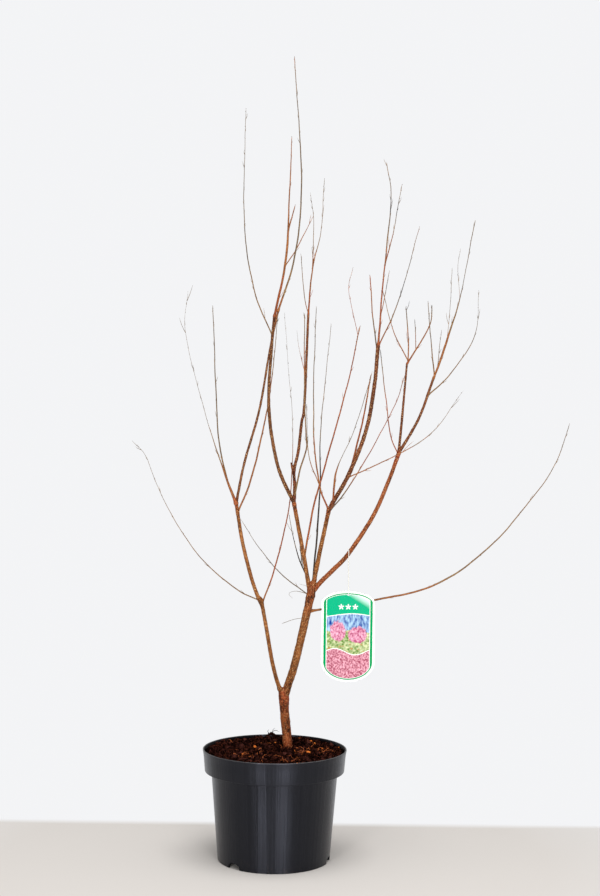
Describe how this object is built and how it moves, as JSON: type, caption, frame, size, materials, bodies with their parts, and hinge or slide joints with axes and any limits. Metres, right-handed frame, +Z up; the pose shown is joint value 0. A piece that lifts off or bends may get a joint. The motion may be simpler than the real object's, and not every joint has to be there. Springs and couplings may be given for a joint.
{
  "type": "potted four-stamen tamarisk",
  "caption": "Bare young tamarisk shrub in winter, with forking red-brown boughs and fine upright twigs, in a black nursery pot, with a picture label hanging from a bough.",
  "frame": {"origin": "centre of the pot's flat underside, on the ground", "axes": "+Z up along the trunk, +X to the right and +Y to the back as seen from the front"},
  "size_m": [0.5678, 0.2768, 1.034],
  "materials": {
    "bark": "matte",
    "twig_bark": "matte",
    "pot_plastic": "satin",
    "potting_soil": "matte",
    "label_card": "gloss",
    "label_thread": "matte"
  },
  "bodies": {
    "plant": {"pot": "pot_plastic", "soil": "potting_soil", "trunk": "bark", "right_stem": "bark", "left_stem": "bark", "centre_left_bough": "bark", "centre_bough": "bark", "right_bough": "bark", "left_leader": "bark", "centre_left_leader": "bark", "centre_leader": "bark", "pruned_stub": "bark", "centre_right_leader": "bark", "right_leader": "bark", "right_middle_bough": "bark", "back_right_twigs": "twig_bark", "centre_left_top_twigs": "twig_bark", "centre_side_twigs": "twig_bark", "centre_top_twigs": "twig_bark", "centre_whip": "twig_bark", "crossing_twigs": "twig_bark", "dark_middle_twigs": "twig_bark", "dark_twigs": "twig_bark", "front_left_twigs": "twig_bark", "front_right_twigs": "twig_bark", "front_top_twigs": "twig_bark", "grey_twigs": "twig_bark", "inner_front_twigs": "twig_bark", "inner_left_twigs": "twig_bark", "inner_right_twigs": "twig_bark", "left_whip": "twig_bark", "long_right_twigs": "twig_bark", "low_front_twigs": "twig_bark", "low_left_twigs": "twig_bark", "low_right_top_twigs": "twig_bark", "middle_twigs": "twig_bark", "outer_left_twigs": "twig_bark", "right_inner_twigs": "twig_bark", "right_middle_twigs": "twig_bark", "right_top_twigs": "twig_bark", "tall_left_twigs": "twig_bark", "tallest_twigs": "twig_bark"},
    "label": {"label_card": "label_card", "label_loop": "label_thread"}
  },
  "joints": [
    {"name": "label_swing", "type": "hinge", "parent": "plant", "child": "label", "pos_m": [0.092, 0.002, 0.392], "axis": [1, 0, 0], "range_deg": [-70, 8]}
  ]
}
